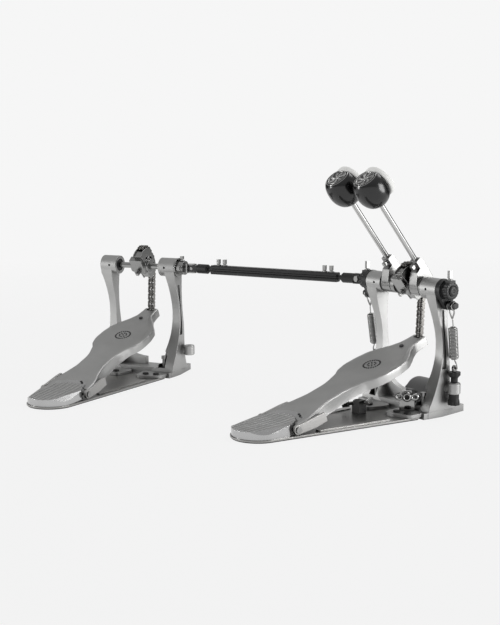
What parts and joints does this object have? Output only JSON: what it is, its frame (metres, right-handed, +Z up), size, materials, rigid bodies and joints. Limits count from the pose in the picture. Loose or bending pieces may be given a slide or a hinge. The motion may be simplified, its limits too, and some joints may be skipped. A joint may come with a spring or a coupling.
{
  "type": "double bass drum pedal",
  "caption": "Double bass drum pedal: a main pedal with two beaters and a slave pedal that drives the left beater through a universal-joint shaft.",
  "frame": {"origin": "on the floor under the main pedal's axle, midway between its bearing bosses", "axes": "+X along the main axle to the drummer's right, +Y from the heel towards the drum, +Z up"},
  "size_m": [0.6755, 0.5219, 0.3656],
  "materials": {
    "mat": "matte",
    "base_steel": "satin",
    "cast_aluminium": "sandblasted satin",
    "machined_aluminium": "satin",
    "bolt_steel": "satin",
    "bright_steel": "polished",
    "chain_steel": "nickel",
    "spring_steel": "bright wire",
    "black_metal": "satin black",
    "dark_metal": "dark grey satin",
    "black_plastic": "moulded",
    "gloss_black": "gloss",
    "felt": "pressed felt"
  },
  "bodies": {
    "main_stand": {"main_base_mat": "mat", "main_base_plate": "base_steel", "main_heel_plate": "cast_aluminium", "main_frame": "cast_aluminium", "main_bearings": "black_metal", "main_screws": "bolt_steel", "main_hinge_pin": "bolt_steel", "clamp_bracket": "bright_steel", "key_clip": "black_plastic", "drum_key": "bright_steel", "tension_rods": "bright_steel"},
    "right_knob_set": {"right_knobs": "black_plastic"},
    "left_knob_set": {"left_knobs": "black_plastic"},
    "wing_screw": {"clamp_screw": "bright_steel"},
    "upper_jaw": {"hoop_jaw": "dark_metal"},
    "main_treadle": {"main_footboard": "cast_aluminium", "main_hinge_bracket": "base_steel", "main_toe_clevis": "black_metal"},
    "main_chain_run": {"main_chain": "chain_steel"},
    "main_axle": {"main_axle_shaft": "bright_steel", "main_cam": "machined_aluminium", "main_cam_chain": "chain_steel", "right_beater_holder": "machined_aluminium", "right_rocker": "black_metal", "main_axle_bolts": "bright_steel"},
    "right_beater": {"right_beater_rod": "bright_steel", "right_beater_head": "gloss_black", "right_beater_felt": "felt"},
    "right_spring_swing": {"right_spring": "spring_steel"},
    "right_link": {"right_spring_link": "spring_steel"},
    "left_drive": {"left_drive_hub": "black_metal", "left_beater_holder": "machined_aluminium", "left_rocker": "black_metal", "left_hub_bolts": "bright_steel"},
    "left_beater": {"left_beater_rod": "bright_steel", "left_beater_head": "gloss_black", "left_beater_felt": "felt"},
    "left_spring_swing": {"left_spring": "spring_steel"},
    "left_link": {"left_spring_link": "spring_steel"},
    "main_joint_cross": {"main_cross": "bright_steel"},
    "drive_shaft": {"shaft_channel": "black_metal", "shaft_main_rod": "black_metal", "shaft_bolts": "bright_steel"},
    "slave_stand": {"slave_base_mat": "mat", "slave_base_plate": "base_steel", "slave_heel_plate": "cast_aluminium", "slave_frame": "cast_aluminium", "slave_bearings": "black_metal", "slave_screws": "bolt_steel", "slave_hinge_pin": "bolt_steel"},
    "slave_shaft_rod": {"shaft_slave_rod": "black_metal"},
    "slave_joint_cross": {"slave_cross": "bright_steel"},
    "slave_treadle": {"slave_footboard": "cast_aluminium", "slave_hinge_bracket": "base_steel", "slave_toe_clevis": "black_metal"},
    "slave_chain_run": {"slave_chain": "chain_steel"},
    "slave_axle": {"slave_axle_shaft": "bright_steel", "slave_cam": "machined_aluminium", "slave_cam_chain": "chain_steel", "slave_axle_bolts": "bright_steel"}
  },
  "joints": [
    {"name": "main_axle_turn", "type": "hinge", "parent": "main_stand", "child": "main_axle", "pos_m": [0, 0, 0.19], "axis": [-1, 0, 0], "range_deg": [0, 45], "stiffness_Nm_per_rad": 1.6, "springref_deg": -14.32},
    {"name": "left_drive_turn", "type": "hinge", "parent": "main_stand", "child": "left_drive", "pos_m": [0, 0, 0.19], "axis": [-1, 0, 0], "range_deg": [0, 42.2], "stiffness_Nm_per_rad": 1.6, "springref_deg": -14.32},
    {"name": "main_treadle_turn", "type": "hinge", "parent": "main_stand", "child": "main_treadle", "pos_m": [0.008, -0.247, 0.013], "axis": [-1, 0, 0], "range_deg": [0, 4.15]},
    {"name": "main_chain_turn", "type": "hinge", "parent": "main_treadle", "child": "main_chain_run", "pos_m": [0.008, 0.02016, 0.10404], "axis": [-1, 0, 0], "range_deg": [-7.95, 0]},
    {"name": "right_beater_slide", "type": "slide", "parent": "main_axle", "child": "right_beater", "axis": [0, -0.6428, 0.766], "range_m": [-0.015, 0.012]},
    {"name": "left_beater_slide", "type": "slide", "parent": "left_drive", "child": "left_beater", "axis": [0, -0.6428, 0.766], "range_m": [-0.015, 0.012]},
    {"name": "right_spring_turn", "type": "hinge", "parent": "main_stand", "child": "right_spring_swing", "pos_m": [0.0855, 0.0174, 0.074], "axis": [1, 0, 0], "range_deg": [0, 9.1]},
    {"name": "right_link_slide", "type": "slide", "parent": "right_spring_swing", "child": "right_link", "axis": [0.0367, -0.1362, 0.99], "range_m": [0, 0.0068], "deforming": ["right_spring"]},
    {"name": "right_knob_turn", "type": "hinge", "parent": "main_stand", "child": "right_knob_set", "pos_m": [0.0855, 0.0174, 0.044], "axis": [0, 0, 1], "continuous": true},
    {"name": "left_spring_turn", "type": "hinge", "parent": "main_stand", "child": "left_spring_swing", "pos_m": [-0.0855, 0.0174, 0.074], "axis": [1, 0, 0], "range_deg": [0, 9.1]},
    {"name": "left_link_slide", "type": "slide", "parent": "left_spring_swing", "child": "left_link", "axis": [-0.0367, -0.1362, 0.99], "range_m": [0, 0.0068], "deforming": ["left_spring"]},
    {"name": "left_knob_turn", "type": "hinge", "parent": "main_stand", "child": "left_knob_set", "pos_m": [-0.0855, 0.0174, 0.044], "axis": [0, 0, 1], "continuous": true},
    {"name": "jaw_turn", "type": "hinge", "parent": "main_stand", "child": "upper_jaw", "pos_m": [0.008, 0.026, 0.024], "axis": [1, 0, 0], "range_deg": [0, 5]},
    {"name": "wing_screw_turn", "type": "hinge", "parent": "main_stand", "child": "wing_screw", "pos_m": [0.0405, -0.034, 0.031], "axis": [0.7071, -0.7071, 0], "range_deg": [0, 360]},
    {"name": "reach_slide", "type": "slide", "parent": "main_stand", "child": "slave_stand", "axis": [-0.9156, -0.402, 0], "range_m": [-0.005, 0.04]},
    {"name": "main_cross_turn", "type": "hinge", "parent": "left_drive", "child": "main_joint_cross", "pos_m": [-0.105, 0, 0.19], "axis": [0, 1, 0], "range_deg": [-16.6, 0]},
    {"name": "drive_shaft_turn", "type": "hinge", "parent": "main_stand", "child": "drive_shaft", "pos_m": [-0.105, 0, 0.19], "axis": [-0.9156, -0.402, 0], "range_deg": [0, 45]},
    {"name": "slave_rod_turn", "type": "hinge", "parent": "slave_stand", "child": "slave_shaft_rod", "pos_m": [-0.39143, -0.12575, 0.19], "axis": [-0.9156, -0.402, 0], "range_deg": [0, 45]},
    {"name": "slave_axle_turn", "type": "hinge", "parent": "slave_stand", "child": "slave_axle", "pos_m": [-0.484, -0.1753, 0.19], "axis": [-0.8816, -0.4719, 0], "range_deg": [0, 45]},
    {"name": "slave_cross_turn", "type": "hinge", "parent": "slave_axle", "child": "slave_joint_cross", "pos_m": [-0.39143, -0.12575, 0.19], "axis": [0, 0, 1], "range_deg": [0, 1.32]},
    {"name": "slave_treadle_turn", "type": "hinge", "parent": "slave_stand", "child": "slave_treadle", "pos_m": [-0.36038, -0.38929, 0.013], "axis": [-0.8816, -0.4719, 0], "range_deg": [0, 4.12]},
    {"name": "slave_chain_turn", "type": "hinge", "parent": "slave_treadle", "child": "slave_chain_run", "pos_m": [-0.48646, -0.15375, 0.10404], "axis": [-0.8816, -0.4719, 0], "range_deg": [-7.88, 0]}
  ],
  "couplings": [
    {"joint": "main_treadle_turn", "follows": "main_axle_turn", "ratio": 0.09115},
    {"joint": "main_chain_turn", "follows": "main_axle_turn", "ratio": -0.17459},
    {"joint": "right_spring_turn", "follows": "main_axle_turn", "ratio": 0.19925},
    {"joint": "right_link_slide", "follows": "main_axle_turn", "m_per_rad": 0.0084625},
    {"joint": "left_spring_turn", "follows": "left_drive_turn", "ratio": 0.19925},
    {"joint": "left_link_slide", "follows": "left_drive_turn", "m_per_rad": 0.0084625},
    {"joint": "main_cross_turn", "follows": "left_drive_turn", "ratio": -0.39},
    {"joint": "drive_shaft_turn", "follows": "left_drive_turn", "ratio": 1.065},
    {"joint": "slave_rod_turn", "follows": "left_drive_turn", "ratio": 1.065},
    {"joint": "slave_axle_turn", "follows": "left_drive_turn", "ratio": 1.065},
    {"joint": "slave_cross_turn", "follows": "left_drive_turn", "ratio": 0.0308},
    {"joint": "slave_treadle_turn", "follows": "left_drive_turn", "ratio": 0.09707},
    {"joint": "slave_chain_turn", "follows": "left_drive_turn", "ratio": -0.18594},
    {"joint": "wing_screw_turn", "follows": "jaw_turn", "ratio": 60}
  ]
}
